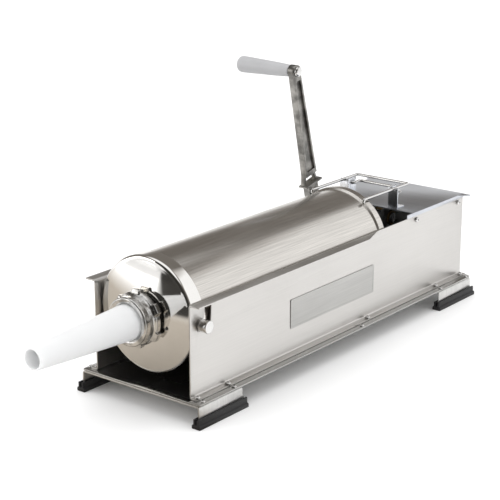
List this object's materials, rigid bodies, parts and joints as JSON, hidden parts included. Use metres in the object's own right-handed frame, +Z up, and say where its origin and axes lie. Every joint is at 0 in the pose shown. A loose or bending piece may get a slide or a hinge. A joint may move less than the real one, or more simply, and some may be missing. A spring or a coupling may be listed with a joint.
{
  "type": "horizontal sausage stuffer",
  "caption": "Horizontal hand-cranked sausage stuffer: a steel tube between side panels, a geared rack and piston, a crank and a tapered filling nozzle.",
  "frame": {"origin": "centre of the bounding box at the level the rubber feet stand on", "axes": "+Z up; -Y the way the nozzle points and +Y towards the gearbox at the rear; -X the side that the crank is on"},
  "size_m": [0.2974, 0.7732, 0.3366],
  "materials": {
    "satin_steel": "satin stainless sheet with a fine brushed grain",
    "polished_steel": "polished stainless, near mirror",
    "cover_steel": "matt stainless sheet, cool grey",
    "cast_steel": "bright plated casting with a slightly rough skin",
    "gear_steel": "machined steel, lightly oiled",
    "bronze": "sintered bronze",
    "black_rubber": "matt black moulded rubber",
    "grey_plastic": "light grey moulded plastic, fine texture",
    "milky_plastic": "milky white food-grade plastic, slightly translucent",
    "white_plastic": "white food-grade plastic"
  },
  "bodies": {
    "root": {"base_plate": "satin_steel", "front_leg_bracket": "satin_steel", "rear_leg_bracket": "satin_steel", "front_foot_left": "black_rubber", "front_foot_right": "black_rubber", "rear_foot_left": "black_rubber", "rear_foot_right": "black_rubber", "left_side_panel": "satin_steel", "right_side_panel": "satin_steel", "rear_plate": "satin_steel", "top_cover": "cover_steel", "nameplate": "polished_steel", "flange_screw_left_1": "polished_steel", "flange_screw_left_2": "polished_steel", "flange_screw_left_3": "polished_steel", "flange_screw_left_4": "polished_steel", "flange_screw_left_5": "polished_steel", "flange_screw_right_1": "polished_steel", "flange_screw_right_2": "polished_steel", "flange_screw_right_3": "polished_steel", "flange_screw_right_4": "polished_steel", "flange_screw_right_5": "polished_steel", "cover_screw_left_1": "polished_steel", "cover_screw_left_2": "polished_steel", "cover_screw_right_1": "polished_steel", "cover_screw_right_2": "polished_steel", "tube": "satin_steel", "front_cap": "polished_steel", "outlet_spigot": "cast_steel", "trunnion_knob_left": "polished_steel", "trunnion_knob_right": "polished_steel", "left_bearing_plate": "satin_steel", "right_bearing_plate": "satin_steel", "input_bush_left": "bronze", "input_bush_right": "bronze", "layshaft_bush_left": "bronze", "layshaft_bush_right": "bronze", "front_spacer_bar": "satin_steel", "rear_spacer_bar": "satin_steel", "rack_guide": "bronze", "bail_bracket_left": "satin_steel", "bail_bracket_right": "satin_steel"},
    "crank": {"crank_arm": "cast_steel", "crank_screw": "polished_steel", "grip_bolt": "polished_steel", "input_shaft": "gear_steel", "input_pinion": "gear_steel"},
    "grip": {"crank_grip": "grey_plastic"},
    "layshaft": {"layshaft": "gear_steel", "large_gear": "gear_steel", "rack_pinion": "gear_steel"},
    "carriage": {"rack": "gear_steel", "piston": "white_plastic", "piston_seal": "black_rubber", "piston_screw": "polished_steel"},
    "bail": {"bail_wire": "polished_steel", "bail_axle": "polished_steel"},
    "nozzle": {"filling_nozzle": "milky_plastic"},
    "ring_nut": {"ring_nut": "polished_steel"}
  },
  "joints": [
    {"name": "crank_turn", "type": "hinge", "parent": "root", "child": "crank", "pos_m": [0.05135, 0.26735, 0.1293], "axis": [1, 0, 0], "range_deg": [0, 4410]},
    {"name": "gear_spin", "type": "hinge", "parent": "root", "child": "layshaft", "pos_m": [0.05135, 0.30623, 0.089], "axis": [-1, 0, 0], "range_deg": [0, 1475]},
    {"name": "rack_slide", "type": "slide", "parent": "root", "child": "carriage", "axis": [0, 1, 0], "range_m": [0, 0.412]},
    {"name": "grip_spin", "type": "hinge", "parent": "crank", "child": "grip", "pos_m": [0.05135, 0.21935, 0.325], "axis": [1, 0, 0], "continuous": true},
    {"name": "bail_swing", "type": "hinge", "parent": "root", "child": "bail", "pos_m": [0.05135, 0.26035, 0.1705], "axis": [-1, 0, 0], "range_deg": [0, 58]},
    {"name": "nozzle_draw", "type": "slide", "parent": "root", "child": "nozzle", "axis": [0, -1, 0], "range_m": [0, 0.0121]},
    {"name": "ring_nut_turn", "type": "hinge", "parent": "nozzle", "child": "ring_nut", "pos_m": [0.05135, -0.22365, 0.113], "axis": [0, -1, 0], "range_deg": [0, 1080]}
  ],
  "couplings": [
    {"joint": "gear_spin", "follows": "crank_turn", "ratio": 0.33333},
    {"joint": "rack_slide", "follows": "crank_turn", "m_per_rad": 0.0053333},
    {"joint": "nozzle_draw", "follows": "ring_nut_turn", "m_per_rad": 0.00063662}
  ]
}
